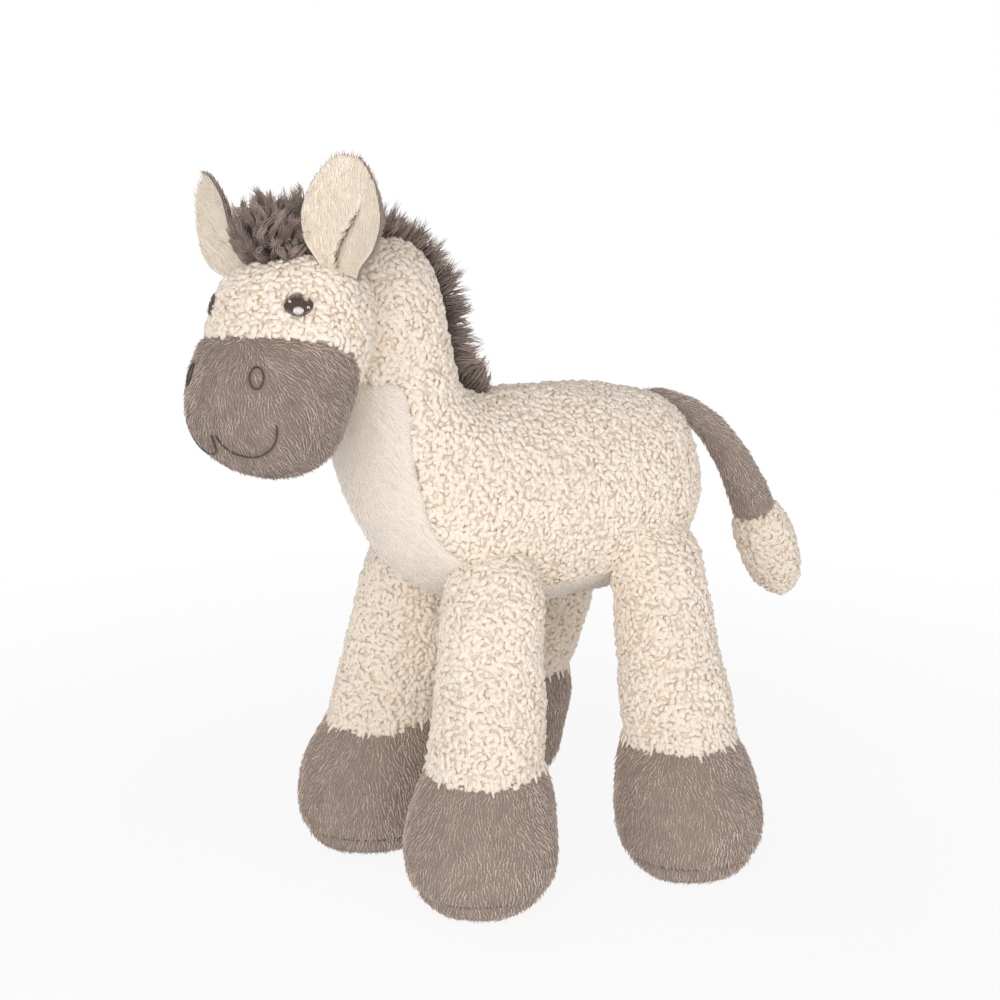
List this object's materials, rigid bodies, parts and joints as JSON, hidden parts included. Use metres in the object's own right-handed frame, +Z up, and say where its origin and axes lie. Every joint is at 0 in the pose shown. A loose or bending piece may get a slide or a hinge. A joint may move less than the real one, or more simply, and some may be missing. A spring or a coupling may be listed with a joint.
{
  "type": "plush horse",
  "caption": "Standing stuffed horse with curly cream covers, taupe muzzle and hooves, a shaggy mane, and legs, head, ears and tail that bend at their seams.",
  "frame": {"origin": "on the ground, under the middle of the toy's box", "axes": "+Z is up, the horse looks along -Y, its tail is at +Y, and its left side is +X"},
  "size_m": [0.1722, 0.2692, 0.2578],
  "materials": {
    "curly_fleece": "cream curly sherpa fleece, nubs of 3 to 4 mm",
    "smooth_cream_plush": "smooth short cream plush",
    "taupe_plush": "short taupe plush with a lay",
    "shaggy_taupe_plush": "long shaggy taupe pile",
    "dark_brown_thread": "satin-stitched embroidery thread",
    "polyester_fibre": "white fibre filling"
  },
  "bodies": {
    "torso": {"body_left_cover": "curly_fleece", "body_right_cover": "curly_fleece", "chest_belly_panel": "smooth_cream_plush", "body_filling": "polyester_fibre", "mane": "shaggy_taupe_plush"},
    "head": {"head_left_cover": "curly_fleece", "head_right_cover": "curly_fleece", "muzzle_cover": "taupe_plush", "head_filling": "polyester_fibre", "left_eye": "dark_brown_thread", "right_eye": "dark_brown_thread", "left_nostril": "dark_brown_thread", "right_nostril": "dark_brown_thread", "mouth_line": "dark_brown_thread", "forelock": "shaggy_taupe_plush"},
    "left_ear": {"left_ear_front": "smooth_cream_plush", "left_ear_back": "taupe_plush"},
    "right_ear": {"right_ear_front": "smooth_cream_plush", "right_ear_back": "taupe_plush"},
    "front_left_leg": {"front_left_leg_cover": "curly_fleece", "front_left_hoof_cover": "taupe_plush", "front_left_sole": "taupe_plush", "front_left_leg_filling": "polyester_fibre"},
    "front_right_leg": {"front_right_leg_cover": "curly_fleece", "front_right_hoof_cover": "taupe_plush", "front_right_sole": "taupe_plush", "front_right_leg_filling": "polyester_fibre"},
    "hind_left_leg": {"hind_left_leg_cover": "curly_fleece", "hind_left_hoof_cover": "taupe_plush", "hind_left_sole": "taupe_plush", "hind_left_leg_filling": "polyester_fibre"},
    "hind_right_leg": {"hind_right_leg_cover": "curly_fleece", "hind_right_hoof_cover": "taupe_plush", "hind_right_sole": "taupe_plush", "hind_right_leg_filling": "polyester_fibre"},
    "tail": {"tail_cover": "taupe_plush", "tail_filling": "polyester_fibre", "tail_tip_cover": "curly_fleece", "tail_tip_filling": "polyester_fibre"}
  },
  "joints": [
    {"name": "front_left_leg_swing", "type": "hinge", "parent": "torso", "child": "front_left_leg", "pos_m": [0.027, -0.02578, 0.11], "axis": [1, 0, 0], "range_deg": [-25, 7], "stiffness_Nm_per_rad": 1.2},
    {"name": "front_right_leg_swing", "type": "hinge", "parent": "torso", "child": "front_right_leg", "pos_m": [-0.027, -0.02578, 0.11], "axis": [1, 0, 0], "range_deg": [-25, 7], "stiffness_Nm_per_rad": 1.2},
    {"name": "hind_left_leg_swing", "type": "hinge", "parent": "torso", "child": "hind_left_leg", "pos_m": [0.027, 0.04408, 0.11], "axis": [1, 0, 0], "range_deg": [-7, 25], "stiffness_Nm_per_rad": 1.2},
    {"name": "hind_right_leg_swing", "type": "hinge", "parent": "torso", "child": "hind_right_leg", "pos_m": [-0.027, 0.04408, 0.11], "axis": [1, 0, 0], "range_deg": [-7, 25], "stiffness_Nm_per_rad": 1.2},
    {"name": "head_turn", "type": "hinge", "parent": "torso", "child": "head", "pos_m": [0, -0.0583, 0.207], "axis": [0, -0.2079, 0.9781], "range_deg": [-50, 10], "stiffness_Nm_per_rad": 0.6},
    {"name": "left_ear_bend", "type": "hinge", "parent": "head", "child": "left_ear", "pos_m": [0.03031, -0.08689, 0.22001], "axis": [0.747, 0.6552, -0.1128], "range_deg": [-20, 20], "stiffness_Nm_per_rad": 0.03},
    {"name": "right_ear_bend", "type": "hinge", "parent": "head", "child": "right_ear", "pos_m": [-0.00698, -0.10017, 0.21718], "axis": [0.8176, -0.043, 0.5741], "range_deg": [-20, 20], "stiffness_Nm_per_rad": 0.03},
    {"name": "tail_lift", "type": "hinge", "parent": "torso", "child": "tail", "pos_m": [0, 0.06438, 0.16107], "axis": [1, 0, 0], "range_deg": [-10, 40], "stiffness_Nm_per_rad": 0.5}
  ]
}
